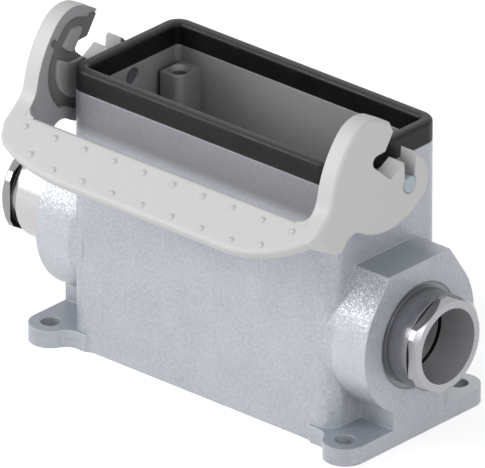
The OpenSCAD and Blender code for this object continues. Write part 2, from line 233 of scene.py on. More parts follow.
def new_group(name: str, inputs: dict[str, float], values: tuple[str, ...],
              vectors: tuple[str, ...] = ()) -> tuple[Tree, Wiring, Node, Node]:
    """Makes an empty shader node group.

    Args:
        name: The group's name.
        inputs: Input name to default value.
        values: Names of the outputs that are single values.
        vectors: Names of the outputs that are vectors.

    Returns:
        The group, its wiring, its input node and its output node.
    """
    group = bpy.data.node_groups.new(name, "ShaderNodeTree")
    for key, default in inputs.items():
        socket = group.interface.new_socket(name=key, in_out="INPUT", socket_type="NodeSocketFloat")
        socket.default_value = default
    for keys, kind in ((values, "NodeSocketFloat"), (vectors, "NodeSocketVector")):
        for key in keys:
            group.interface.new_socket(name=key, in_out="OUTPUT", socket_type=kind)
    wiring = Wiring(group)
    return group, wiring, wiring.add("NodeGroupInput"), wiring.add("NodeGroupOutput")


class GrainEffect(Effect):
    """Fine surface grain with a broad mottle, in the piece's own millimetres."""

    GRAIN_HEIGHT: float = 0.65
    PIT_HEIGHT: float = 0.5
    PIT_SCALE: float = 0.7
    SPECK: tuple[float, float] = (0.35, 0.65)
    FLAKE: tuple[float, float] = (0.52, 0.58)
    CLOUD: tuple[float, float] = (0.3, 0.7)

    @classmethod
    def _build(cls) -> Tree:
        """Builds the group.

        Returns:
            A group with inputs Grain and Mottle, the sizes in millimetres, and outputs Height,
            Speck, Flake and Cloud.
        """
        group, wire, enter, leave = new_group(
            "surface_grain", {"Grain": 0.6, "Mottle": 8.0}, ("Height", "Speck", "Flake", "Cloud"))
        place = wire.add("TexCoord").outputs["Object"]
        fine = wire.math("DIVIDE", 1.0 / MM, enter.outputs["Grain"])
        broad = wire.math("DIVIDE", 1.0 / MM, enter.outputs["Mottle"])
        grain = wire.add("TexNoise", {"Vector": place, "Scale": fine, "Detail": 3.0,
                                      "Roughness": 0.6}).outputs[0]
        pitted = wire.product(fine, cls.PIT_SCALE)
        pits = wire.add("TexVoronoi", {"Vector": place, "Scale": pitted}, feature="SMOOTH_F1")
        cloud = wire.add("TexNoise", {"Vector": place, "Scale": broad, "Detail": 4.0,
                                      "Roughness": 0.55}).outputs[0]
        height = wire.math("ADD", wire.product(grain, cls.GRAIN_HEIGHT),
                           wire.product(pits.outputs["Distance"], cls.PIT_HEIGHT))
        wire.join(leave, {"Height": height, "Speck": wire.ramp(grain, *cls.SPECK),
                          "Flake": wire.ramp(grain, *cls.FLAKE), "Cloud": wire.ramp(cloud, *cls.CLOUD)})
        return group


class EdgeEffect(Effect):
    """Softened edges: a rounded normal, and a mask of the edges that stand out, for painted edge
    highlights.
    """

    TURN: tuple[float, float] = (0.01, 0.22)

    @classmethod
    def _build(cls) -> Tree:
        """Builds the group.

        Returns:
            A group with input Radius in millimetres and outputs Edge and Normal.
        """
        group, wire, enter, leave = new_group("soft_edge", {"Radius": 0.4}, ("Edge",), ("Normal",))
        radius = wire.product(enter.outputs["Radius"], MM)
        rounded = wire.add("Bevel", {"Radius": radius}, samples=6).outputs[0]
        flat = wire.add("NewGeometry").outputs["Normal"]
        turn = wire.add("VectorMath", {0: rounded, 1: flat}, operation="DOT_PRODUCT").outputs["Value"]
        wire.join(leave, {"Normal": rounded, "Edge": wire.ramp(wire.invert(turn), *cls.TURN)})
        return group


class RingEffect(Effect):
    """Turned rings along X, as a lathe or a fine thread leaves them."""

    STREAK_SCALE: float = 1.7

    @classmethod
    def _build(cls) -> Tree:
        """Builds the group.

        Returns:
            A group with input Pitch in millimetres and outputs Height and Streak.
        """
        group, wire, enter, leave = new_group("turned_rings", {"Pitch": 0.8}, ("Height", "Streak"))
        turns = wire.math("DIVIDE", wire.places()["X"], enter.outputs["Pitch"])
        wave = wire.math("SINE", wire.product(turns, 2.0 * math.pi))
        line = wire.add("CombineXYZ", {0: wire.product(turns, cls.STREAK_SCALE)}).outputs[0]
        streak = wire.add("TexNoise", {"Vector": line, "Scale": 1.0, "Detail": 5.0,
                                       "Roughness": 0.7}).outputs[0]
        wire.join(leave, {"Height": wire.product(wire.math("ADD", wave, 1.0), 0.5), "Streak": streak})
        return group


class ShadeEffect(Effect):
    """How open a place is, for the painted shade in wells and corners."""

    @classmethod
    def _build(cls) -> Tree:
        """Builds the group.

        Returns:
            A group with inputs Reach, in millimetres, and Depth, the share taken from a closed
            place, and outputs Open and Free, which takes nothing off.
        """
        group, wire, enter, leave = new_group(
            "open_places", {"Reach": 25.0, "Depth": 0.8}, ("Open", "Free"))
        reach = wire.product(enter.outputs["Reach"], MM)
        free = wire.add("AmbientOcclusion", {"Distance": reach}, samples=8).outputs["AO"]
        lost = wire.product(wire.invert(free), enter.outputs["Depth"])
        wire.join(leave, {"Open": wire.math("SUBTRACT", 1.0, lost, clamp=True), "Free": free})
        return group


class FacingEffect(Effect):
    """Where a face is, and masks of the faces that look up, inward or outward along X."""

    UPWARD: tuple[float, float] = (0.55, 0.95)
    SIDEWARD: tuple[float, float] = (0.75, 0.97)

    @classmethod
    def _build(cls) -> Tree:
        """Builds the group.

        Returns:
            A group with outputs Up, Inward, Outward and, in millimetres, Across, the distance
            from the middle plane, Back, the place along Y, and Rise, the height.
        """
        group, wire, _, leave = new_group(
            "facing", {}, ("Up", "Inward", "Outward", "Across", "Back", "Rise"))
        normal = wire.add("SeparateXYZ", {0: wire.add("TexCoord").outputs["Normal"]}).outputs
        place = wire.places()
        outward = wire.product(wire.math("SIGN", place["X"]), normal["X"])
        inward = wire.product(outward, -1.0)
        across = wire.math("ABSOLUTE", place["X"])
        wire.join(leave, {"Up": wire.ramp(normal["Z"], *cls.UPWARD),
                          "Inward": wire.ramp(inward, *cls.SIDEWARD),
                          "Outward": wire.ramp(outward, *cls.SIDEWARD),
                          "Across": across, "Back": place["Y"], "Rise": place["Z"]})
        return group


class BoreEffect(Effect):
    """Mask of the cable's way through a gland, which stays dull as it was bored."""

    ALLOWANCE_MM: float = 0.06

    @classmethod
    def _build(cls) -> Tree:
        """Builds the group.

        Returns:
            A group with inputs Height, of the bore's axis, and Radius, both in millimetres, and
            output Inside.
        """
        group, wire, enter, leave = new_group("dull_bore", {"Height": 29.4, "Radius": 10.5}, ("Inside",))
        place = wire.places()
        rise = wire.math("SUBTRACT", place["Z"], enter.outputs["Height"])
        square = wire.math("ADD", wire.product(rise, rise), wire.product(place["Y"], place["Y"]))
        reach = wire.math("SQRT", square)
        limit = wire.math("ADD", enter.outputs["Radius"], cls.ALLOWANCE_MM)
        wire.join(leave, {"Inside": wire.math("LESS_THAN", reach, limit)})
        return group


class WellEffect(Effect):
    """Mask of the raw casting inside the housing's open well."""

    FLOOR_ALLOWANCE_MM: float = 0.1
    WALL_ALLOWANCE_MM: float = 0.3

    @classmethod
    def _build(cls) -> Tree:
        """Builds the group.

        Returns:
            A group with inputs Length, Width and Floor of the well in millimetres, and output
            Inside.
        """
        group, wire, enter, leave = new_group(
            "raw_well", {"Length": 86.5, "Width": 36.0, "Floor": 4.0}, ("Inside",))
        place = wire.places()
        floor = wire.math("SUBTRACT", enter.outputs["Floor"], cls.FLOOR_ALLOWANCE_MM)
        inside = wire.math("GREATER_THAN", place["Z"], floor)
        for key, size in (("X", "Length"), ("Y", "Width")):
            half = wire.product(wire.math("ADD", enter.outputs[size], cls.WALL_ALLOWANCE_MM), 0.5)
            inside = wire.product(inside, wire.math("LESS_THAN", wire.math("ABSOLUTE", place[key]), half))
        wire.join(leave, {"Inside": inside})
        return group


class LeverShadeEffect(Effect):
    """Mask of the band under the rim of the two long sides where painted shade stands for the lever strip's
    shadow.
    """

    WALL_ALLOWANCE_MM: float = 0.6
    TOP_SHARE: float = 0.72

    @classmethod
    def _build(cls) -> Tree:
        """Builds the group.

        Returns:
            A group with inputs Side, the long side's distance from the middle, From and Full,
            the heights where the band starts and is whole, and Top, all in millimetres, and
            output Band.
        """
        group, wire, enter, leave = new_group(
            "lever_shade_band", {"Side": 21.5, "From": 62.3, "Full": 66.6, "Top": 75.6}, ("Band",))
        place, size = wire.places(), enter.outputs
        wall = wire.math("SUBTRACT", size["Side"], cls.WALL_ALLOWANCE_MM)
        side = wire.math("GREATER_THAN", wire.math("ABSOLUTE", place["Y"]), wall)
        start = wire.add("MapRange", {0: place["Z"], 1: size["From"], 2: size["Full"]},
                         interpolation_type="SMOOTHSTEP").outputs[0]
        fade = wire.add("MapRange", {0: place["Z"], 1: size["Full"], 2: size["Top"], 3: 1.0,
                                     4: cls.TOP_SHARE}).outputs[0]
        wire.join(leave, {"Band": wire.product(side, start, fade)})
        return group


def new_material(name: str) -> tuple[bpy.types.Material, Wiring, Node, Node]:
    """Makes a material that holds only a Principled shader.

    Args:
        name: The material's name.

    Returns:
        The material, its wiring, the shader node and the output node.
    """
    material = bpy.data.materials.new(name)
    material.use_nodes = True
    material.node_tree.nodes.clear()
    wiring = Wiring(material.node_tree)
    shader = wiring.add("BsdfPrincipled")
    return material, wiring, shader, wiring.add("OutputMaterial", {"Surface": shader.outputs[0]})


# Finishes


@dataclass(frozen=True)
class CastCoat:
    """Silver-grey coat over a die casting: fine grain, painted highlights on the edges, painted glints on
    the bosses' flanks, and painted shade on the upward faces, under the rim and in wells and corners.
    """

    name: str = "silver_cast_coat"
    colour: Colour = (0.48, 0.50, 0.545)
    dark: Colour = (0.33, 0.35, 0.395)
    # Colour of the pale mottle, and the painted highlight on the rounded edges.
    coat_mottle_and_edge_highlight: Colour = (0.68, 0.70, 0.73)
    # Painted shade on the upward faces, lighter towards the back with the next colour.
    dust_and_top_shade: Colour = (0.33, 0.37, 0.42)
    lit_back_top: Colour = (0.64, 0.68, 0.71)
    # Painted highlight: the glints and the lit lower parts of the bosses' flanks.
    painted_highlight: Colour = (0.92, 0.93, 0.95)
    raw: Colour = (0.40, 0.40, 0.41)
    # Painted shade from the lever's strip under the rim.
    lever_shade: Colour = (0.185, 0.182, 0.20)
    speck_share: float = 0.65
    cloud_share: float = 0.2
    top_share: float = 0.85
    lever_shade_share: float = 0.95
    edge_share: float = 0.75
    # Shares of the painted glints, of the painted shade between them and of the painted light below them.
    painted_glint_share: float = 0.7
    glint_gap_shade_share: float = 0.3
    painted_flank_light_share: float = 0.17
    foot_share: float = 0.5
    top_fade_mm: tuple[float, float] = (6.0, 13.0)
    painted_glint_fade_mm: tuple[float, float] = (33.0, 47.0)
    foot_fade_mm: tuple[float, float] = (6.0, 11.0)
    boss_across_mm: tuple[float, float] = (46.9, 51.0)
    metallic: float = 0.12
    flake_metallic: float = 0.45
    roughness: float = 0.34
    cloud_roughness: float = 0.1
    coat_weight: float = 0.5
    coat_roughness: float = 0.12
    grain_mm: float = 0.9
    flake_mm: float = 0.42
    mottle_mm: float = 9.0
    bump_mm: float = 0.2
    bump_strength: float = 0.75
    raw_bump: float = 0.33
    glint_mm: float = 0.3
    edge_mm: float = 0.45
    shade_mm: float = 28.0
    shade_depth: float = 0.12
    # Painted shade deep in the well.
    well_shade_depth: float = 0.8
    well_shade_limit: float = 0.66
    well_mm: tuple[float, float, float] = (86.5, 36.0, 4.0)

    def _skin(self, wire: Wiring, grain: Outputs, facing: Outputs) -> Socket:
        """Colours the coat with its grain, painted shade on its upward faces that grows lighter towards the
        back, and painted shade under the rim of the long sides.

        Args:
            wire: The material's wiring.
            grain: The grain's outputs.
            facing: The outputs of FacingEffect.

        Returns:
            The colour's socket.
        """
        speckled = wire.blend(wire.product(grain["Speck"], self.speck_share), self.colour, self.dark)
        clouded = wire.blend(wire.product(grain["Cloud"], self.cloud_share), speckled, self.coat_mottle_and_edge_highlight)
        # Painted shade on the upward faces, lighter towards the back.
        top = wire.blend(wire.ramp(facing["Back"], *self.top_fade_mm), self.dust_and_top_shade, self.lit_back_top)
        top_shaded = wire.blend(wire.product(facing["Up"], self.top_share), clouded, top)
        # Painted shade from the lever's strip on the band under the rim.
        return wire.blend(wire.product(wire.effect(LeverShadeEffect)["Band"], self.lever_shade_share), top_shaded, self.lever_shade)

    def _flanks(self, wire: Wiring, skin: Socket, facing: Outputs, flake: Socket) -> Socket:
        """Adds painted glints, with painted shade between them, on the bosses' upper flanks, painted light
        on the flanks below them, and darker low flanks on the feet.

        Args:
            wire: The material's wiring.
            skin: The coat's colour.
            facing: The outputs of FacingEffect.
            flake: Mask of the coat's flakes.

        Returns:
            The colour's socket.
        """
        flank = wire.invert(wire.math("MAXIMUM", facing["Up"], facing["Outward"]))
        boss = wire.product(wire.math("GREATER_THAN", facing["Across"], self.boss_across_mm[0]), flank)
        beyond = wire.product(flank, wire.ramp(facing["Across"], *self.boss_across_mm))
        high = wire.ramp(facing["Rise"], *self.painted_glint_fade_mm)
        above = wire.ramp(facing["Rise"], *self.foot_fade_mm)
        # Painted light on the bosses' flanks below the glints.
        flank_lit = wire.blend(wire.product(boss, wire.invert(high), above, self.painted_flank_light_share), skin, self.painted_highlight)
        darker_low = wire.blend(wire.product(beyond, wire.invert(above), self.foot_share), flank_lit, self.dark)
        # Painted glints on the bosses' upper flanks, with painted shade between them.
        glint_gaps = wire.blend(wire.product(boss, high, wire.invert(flake), self.glint_gap_shade_share), darker_low, self.dark)
        return wire.blend(wire.product(boss, high, flake, self.painted_glint_share), glint_gaps, self.painted_highlight)

    def material(self) -> bpy.types.Material:
        """Builds the coat.

        Returns:
            The material.
        """
        material, wire, shader, _ = new_material(self.name)
        length, width, floor = self.well_mm
        grain = wire.effect(GrainEffect, Grain=self.grain_mm, Mottle=self.mottle_mm)
        flake = wire.effect(GrainEffect, Grain=self.flake_mm, Mottle=self.mottle_mm)["Flake"]
        edge = wire.effect(EdgeEffect, Radius=self.edge_mm)
        shade = wire.effect(ShadeEffect, Reach=self.shade_mm, Depth=self.shade_depth)
        facing = wire.effect(FacingEffect)
        well = wire.effect(WellEffect, Length=length, Width=width, Floor=floor)["Inside"]
        coated = wire.invert(well)
        skin = self._skin(wire, grain, facing)
        # Painted highlight on the rounded edges.
        edged = wire.blend(wire.product(edge["Edge"], self.edge_share), skin, self.coat_mottle_and_edge_highlight)
        # Painted shade where the place is closed in, such as in corners.
        coat = wire.blend(shade["Open"], BLACK, self._flanks(wire, edged, facing, flake))
        # Painted shade deep in the well, over the raw casting's own colour.
        hidden = wire.product(wire.invert(shade["Free"]), self.well_shade_depth)
        lost = wire.math("MINIMUM", hidden, self.well_shade_limit)
        colour = wire.blend(well, coat, wire.blend(lost, self.raw, BLACK))
        metallic = wire.math("ADD", self.metallic, wire.product(flake, self.flake_metallic, coated))
        rough = wire.math("ADD", self.roughness, wire.product(grain["Cloud"], self.cloud_roughness))
        depth = wire.math("ADD", self.raw_bump, wire.product(coated, 1.0 - self.raw_bump))
        height = wire.product(grain["Height"], depth)
        bump = wire.bump(self.bump_strength, self.bump_mm, height, edge["Normal"])
        place = wire.add("TexCoord").outputs["Object"]
        fine = wire.add("TexNoise", {"Vector": place, "Scale": 1.0 / (self.flake_mm * MM), "Detail": 3.0})
        shader.inputs["Coat Roughness"].default_value = self.coat_roughness
        wire.join(shader, {"Base Color": colour, "Metallic": metallic, "Roughness": rough, "Normal": bump,
                           "Coat Weight": wire.product(coated, self.coat_weight),
                           "Coat Normal": wire.bump(1.0, self.glint_mm, fine.outputs[0])})
        return material


@dataclass(frozen=True)
class MouldedPlastic:
    """Light grey moulded plastic with a fine matte texture, painted highlights on its edges, and painted
    shade on the cheeks' inner faces, in the sunk fields and in corners.
    """

    name: str = "moulded_grey_plastic"
    colour: Colour = (0.60, 0.595, 0.60)
    # Colour of the pale mottle, and the painted highlight on the edges.
    pale_mottle_and_edge_highlight: Colour = (0.74, 0.735, 0.74)
    # Painted shade of the cheeks' inner faces.
    inner: Colour = (0.37, 0.37, 0.38)
    # Painted shade on the floors of the sunk fields.
    sunk_field_shade: Colour = (0.19, 0.19, 0.195)
    cloud_share: float = 0.12
    edge_share: float = 0.35
    roughness: float = 0.44
    cloud_roughness: float = 0.08
    grain_mm: float = 0.35
    mottle_mm: float = 22.0
    bump_mm: float = 0.012
    bump_strength: float = 0.4
    edge_mm: float = 0.5
    shade_mm: float = 14.0
    shade_depth: float = 0.5
    field_mm: tuple[float, float] = (50.2, 51.0)

    def material(self) -> bpy.types.Material:
        """Builds the plastic.

        Returns:
            The material.
        """
        material, wire, shader, _ = new_material(self.name)
        grain = wire.effect(GrainEffect, Grain=self.grain_mm, Mottle=self.mottle_mm)
        edge = wire.effect(EdgeEffect, Radius=self.edge_mm)
        shade = wire.effect(ShadeEffect, Reach=self.shade_mm, Depth=self.shade_depth)["Open"]
        facing = wire.effect(FacingEffect)
        clouded = wire.blend(wire.product(grain["Cloud"], self.cloud_share), self.colour, self.pale_mottle_and_edge_highlight)
        # Painted highlight on the rounded edges.
        edged = wire.blend(wire.product(edge["Edge"], self.edge_share), clouded, self.pale_mottle_and_edge_highlight)
        # Painted shade on the faces turned inward, the cheeks' inner faces.
        inner = wire.blend(facing["Inward"], edged, self.inner)
        start, end = self.field_mm
        within = wire.product(wire.math("GREATER_THAN", facing["Across"], start),
                              wire.math("LESS_THAN", facing["Across"], end))
        # Painted shade on the floors of the sunk fields.
        sunk_field_shade = wire.blend(wire.product(within, facing["Inward"]), inner, self.sunk_field_shade)
        rough = wire.math("ADD", self.roughness, wire.product(grain["Cloud"], self.cloud_roughness))
        bump = wire.bump(self.bump_strength, self.bump_mm, grain["Height"], edge["Normal"])
        # Painted shade in corners and closed-in places.
        colour = wire.blend(shade, BLACK, sunk_field_shade)
        wire.join(shader, {"Base Color": colour, "Roughness": rough, "Normal": bump})
        return material


@dataclass(frozen=True)
class BlackRubber:
    """Black rubber with a dull, slightly dusty skin, a painted sheen on its upward faces, painted
    highlights on its edges and painted shade in corners.
    """

    name: str = "black_rubber"
    colour: Colour = (0.006, 0.006, 0.0065)
    dust_and_top_shade: Colour = (0.012, 0.012, 0.013)
    # Painted sheen on the upward faces.
    top_sheen: Colour = (0.06, 0.063, 0.068)
    # Painted highlight on the edges.
    pale_mottle_and_edge_highlight: Colour = (0.17, 0.175, 0.18)
    dust_share: float = 0.5
    top_sheen_share: float = 0.6
    edge_share: float = 0.6
    roughness: float = 0.32
    cloud_roughness: float = 0.12
    specular: float = 0.27
    edge_mm: float = 0.7
    grain_mm: float = 0.5
    mottle_mm: float = 7.0
    bump_mm: float = 0.01
    bump_strength: float = 0.3
    shade_mm: float = 10.0
    shade_depth: float = 0.9

    def material(self) -> bpy.types.Material:
        """Builds the rubber.

        Returns:
            The material.
        """
        material, wire, shader, _ = new_material(self.name)
        grain = wire.effect(GrainEffect, Grain=self.grain_mm, Mottle=self.mottle_mm)
        shade = wire.effect(ShadeEffect, Reach=self.shade_mm, Depth=self.shade_depth)["Open"]
        edge = wire.effect(EdgeEffect, Radius=self.edge_mm)
        up = wire.effect(FacingEffect)["Up"]
        skin = wire.blend(wire.product(grain["Cloud"], self.dust_share), self.colour, self.dust_and_top_shade)
        # Painted sheen on the upward faces.
        sheened = wire.blend(wire.product(up, self.top_sheen_share), skin, self.top_sheen)
        # Painted highlight on the edges.
        edged = wire.blend(wire.product(edge["Edge"], self.edge_share), sheened, self.pale_mottle_and_edge_highlight)
        rough = wire.math("ADD", self.roughness, wire.product(grain["Cloud"], self.cloud_roughness))
        bump = wire.bump(self.bump_strength, self.bump_mm, grain["Height"], edge["Normal"])
        shader.inputs["Specular IOR Level"].default_value = self.specular
        # Painted shade in corners and closed-in places.
        colour = wire.blend(shade, BLACK, edged)
        wire.join(shader, {"Base Color": colour, "Roughness": rough, "Normal": bump})
        return material


@dataclass(frozen=True)
class TurnedMetal:
    """Turned metal, plated or plain, with rings along X and a dull bore, painted shade on the faces turned
    inward and in corners, and painted light and shade on the outward end faces.
    """

    name: str = "turned_nickel"
    colour: Colour = (0.62, 0.61, 0.62)
    dull: Colour = (0.50, 0.49, 0.50)
    # Painted shade on the faces turned toward the middle.
    rear: Colour = (0.30, 0.30, 0.30)
    # Painted light and shade on the end faces turned outward.
    end_face_shading: Colour = (0.24, 0.25, 0.265)
    bored: Colour = (0.37, 0.37, 0.385)
    metallic: float = 1.0
    bore_loss: float = 0.85
    roughness: float = 0.22
    streak_roughness: float = 0.12
    bore_roughness: float = 0.2
    pitch_mm: float = 0.75
    bump_mm: float = 0.02
    bump_strength: float = 0.5
    edge_mm: float = 0.25
    shade_mm: float = 8.0
    shade_depth: float = 0.2

    def material(self) -> bpy.types.Material:
        """Builds the metal.

        Returns:
            The material.
        """
        material, wire, shader, _ = new_material(self.name)
        rings = wire.effect(RingEffect, Pitch=self.pitch_mm)
        edge = wire.effect(EdgeEffect, Radius=self.edge_mm)
        shade = wire.effect(ShadeEffect, Reach=self.shade_mm, Depth=self.shade_depth)["Open"]
        facing = wire.effect(FacingEffect)
        bore = wire.effect(BoreEffect)["Inside"]
        streaked = wire.blend(rings["Streak"], self.dull, self.colour)
        # Painted shade on the faces turned inward.
        rear_shaded = wire.blend(facing["Inward"], streaked, self.rear)
        # Painted light and shade on the end faces turned outward.
        end_shaded = wire.blend(facing["Outward"], rear_shaded, self.end_face_shading)
        # Painted shade in corners and closed-in places.
        colour = wire.blend(shade, BLACK, wire.blend(bore, end_shaded, self.bored))
        metallic = wire.product(wire.invert(wire.product(bore, self.bore_loss)), self.metallic)
        streaky = wire.math("ADD", self.roughness, wire.product(rings["Streak"], self.streak_roughness))
        rough = wire.math("ADD", streaky, wire.product(bore, self.bore_roughness))
        bump = wire.bump(self.bump_strength, self.bump_mm, rings["Height"], edge["Normal"])
        wire.join(shader, {"Base Color": colour, "Metallic": metallic, "Roughness": rough, "Normal": bump})
        return material


# Pieces


def dress(node: str, material: bpy.types.Material) -> bpy.types.Object:
    """Gives every slot of a CAD node one material.

    Args:
        node: The node's name.
        material: Its new material.

    Returns:
        The node's object.
    """
    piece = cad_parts[node]
    for slot in piece.material_slots:
        slot.material = material
    LOG.info("dressed %s with %s", node, material.name)
    return piece


def new_piece(work: bmesh.types.BMesh, name: str) -> bpy.types.Object:
    """Makes a piece whose flat steps shade as one curve, and frees the mesh it came from.

    Args:
        work: The mesh that was worked on.
        name: The new piece's name.

    Returns:
        The new piece.
    """
    mesh = bpy.data.meshes.new(name)
    work.to_mesh(mesh)
    work.free()
    normals = mesh.attributes.get("custom_normal")
    if normals:
        mesh.attributes.remove(normals)
    mesh.shade_smooth()
    mesh.set_sharp_from_angle(angle=math.radians(SHARP_DEGREES))
    piece = bpy.data.objects.new(name, mesh)
    bpy.context.scene.collection.objects.link(piece)
    return piece


def smooth_copy(node: str, name: str) -> bpy.types.Object:
    """Copies a CAD node into a welded piece whose broad faces keep their flat look.

    Args:
        node: The node's name.
        name: The new piece's name.

    Returns:
        The new piece, in the node's place.
    """
    work = bmesh.new()
    work.from_mesh(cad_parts[node].data)
    bmesh.ops.remove_doubles(work, verts=work.verts, dist=WELD_MM * MM)
    piece = new_piece(work, name)
    weigh = piece.modifiers.new("flat_faces_lead", "WEIGHTED_NORMAL")
    weigh.keep_sharp = True
    weigh.weight = BROAD_FACES_LEAD
    return piece


def turned(name: str, profile: list[tuple[float, float]], height: float,
           steps: int = 128) -> bpy.types.Object:
    """Turns a closed profile about a line parallel to X.

    Args:
        name: The new piece's name.
        profile: Points (radius, x) in metres, in order round the section.
        height: Height of the line above the mounting face.
        steps: Number of flat steps round the line.

    Returns:
        The new piece, with smooth round faces and sharp edges.
    """
    work = bmesh.new()
    turns = [2.0 * math.pi * k / steps for k in range(steps)]
    rings = [[work.verts.new((x, radius * math.cos(turn), height + radius * math.sin(turn)))
              for turn in turns] for radius, x in profile]
    for ring, following in zip(rings, rings[1:] + rings[:1]):
        for k in range(steps):
            after = (k + 1) % steps
            work.faces.new((ring[k], ring[after], following[after], following[k]))
    bmesh.ops.recalc_face_normals(work, faces=work.faces)
    return new_piece(work, name)


@dataclass
class HousingCasting:
    """The cast body with its feet, end bosses and insert posts."""

    finish: CastCoat = field(default_factory=CastCoat)
    crown_height: float = 50.4 * MM
    round_top: float = 51.2 * MM
    crown_half: float = 6.0 * MM
    end_wall: float = 45.0 * MM

    def build(self) -> bpy.types.Object:
        """Builds the casting's skin with the crown of each boss level.

        Returns:
            The casting.
        """
        casting = smooth_copy("housing", "housing_casting")
        level = 0
        for vertex in casting.data.vertices:
            place = vertex.co
            if (abs(place.x) > self.end_wall and abs(place.y) < self.crown_half
                    and self.crown_height < place.z < self.round_top):
                place.z = self.crown_height
                level += 1
        casting.data.materials.append(self.finish.material())
        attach(casting, "housing")
        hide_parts("housing")
        LOG.info("built housing_casting and levelled %d points of its crowns", level)
        return casting


@dataclass
class RubberSeals:
    """The profile gasket on the rim and the two sealing rings in the glands."""

    finish: BlackRubber = field(default_factory=BlackRubber)
    rings: BlackRubber = field(default_factory=lambda: BlackRubber(
        name="seal_ring_rubber", colour=(0.002, 0.002, 0.002), dust_and_top_shade=(0.004, 0.004, 0.004),
        top_sheen=(0.003, 0.003, 0.003), pale_mottle_and_edge_highlight=(0.008, 0.008, 0.008), specular=0.12, edge_mm=0.2))

    def build(self) -> None:
        """Dresses the rubber pieces."""
        dress("gasket", self.finish.material())
        material = self.rings.material()
        for side in Side:
            dress(side.piece("seal_ring"), material)


@dataclass
class LockingLever:
    """The moulded lever with its two cheeks and its finger strip."""

    finish: MouldedPlastic = field(default_factory=MouldedPlastic)
    pivot_height: float = 72.3 * MM
    cheek_inner: float = 49.6 * MM
    slope_degrees: float = 38.5
    strip_offset: float = 21.3 * MM
    strip_start: float = 27.8 * MM
    strip_thickness: float = 3.2 * MM
    corner_radius: float = 3.0 * MM
    corner_overlap: float = 1.3 * MM
    corner_below: float = 0.02 * MM
    corner_steps: int = 12

    def on_strip(self, x: float, up_slope: float, out: float) -> Vector:
        """Places a point given on the strip's face, from its upper edge.

        Args:
            x: Distance along the housing.
            up_slope: Distance up the slope.
            out: Distance out of the face.

        Returns:
            The point in the shared frame.
        """
        slope = math.radians(self.slope_degrees)
        along, away = self.strip_start - up_slope, self.strip_offset + out
        return Vector((x, -math.cos(slope) * along - math.sin(slope) * away,
                       self.pivot_height - math.sin(slope) * along + math.cos(slope) * away))

    def corner(self, side: Side, material: bpy.types.Material) -> bpy.types.Object:
        """Fills the hollow corner between the strip's upper edge and a cheek, flush with both.

        Args:
            side: The end it belongs to.
            material: The lever's plastic.

        Returns:
            The corner piece.
        """
        radius, lap, steps = self.corner_radius, self.corner_overlap, self.corner_steps
        start, end = self.cheek_inner - radius, self.cheek_inner + lap
        turns = [math.pi / 2.0 * k / steps for k in range(steps + 1)]
        arc = [(start + radius * math.sin(turn), radius - radius * math.cos(turn)) for turn in turns]
        outline = [*arc, (end, radius), (end, -lap), (start, -lap)]
        work = bmesh.new()
        levels = [[work.verts.new(self.on_strip(side.value * x, y, out)) for x, y in outline]
                  for out in (-self.strip_thickness, -self.corner_below)]
        for level in levels:
            work.faces.new(level)
        for k in range(len(outline)):
            after = (k + 1) % len(outline)
            work.faces.new((levels[0][k], levels[0][after], levels[1][after], levels[1][k]))
        bmesh.ops.recalc_face_normals(work, faces=work.faces)
        piece = new_piece(work, side.piece("strip_corner"))
        piece.data.materials.append(material)
        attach(piece, "lever")
        LOG.info("built %s", piece.name)
        return piece

    def build(self) -> bpy.types.Object:
        """Builds the lever's smooth skin in place of the faceted node, and the strip's corners.

        Returns:
            The lever.
        """
        lever = smooth_copy("lever", "locking_lever")
        plastic = self.finish.material()
        lever.data.materials.append(plastic)
        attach(lever, "lever")
        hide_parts("lever")
        LOG.info("built locking_lever with %d faces", len(lever.data.polygons))
        for side in Side:
            self.corner(side, plastic)
        return lever


@dataclass
class PivotPins:
    """The two shouldered pins that carry the lever."""

    # The rear colour is painted shade on the pins' inner ends.
    finish: TurnedMetal = field(default_factory=lambda: TurnedMetal(
        name="pin_steel", colour=(0.40, 0.46, 0.50), dull=(0.33, 0.38, 0.42),
        rear=(0.16, 0.16, 0.17), end_face_shading=(0.40, 0.46, 0.50), metallic=0.35,
        roughness=0.42, pitch_mm=0.5, bump_mm=0.006, edge_mm=0.2))

    def build(self) -> None:
        """Dresses the pins."""
        material = self.finish.material()
        for side in Side:
            dress(side.piece("pivot_pin"), material)


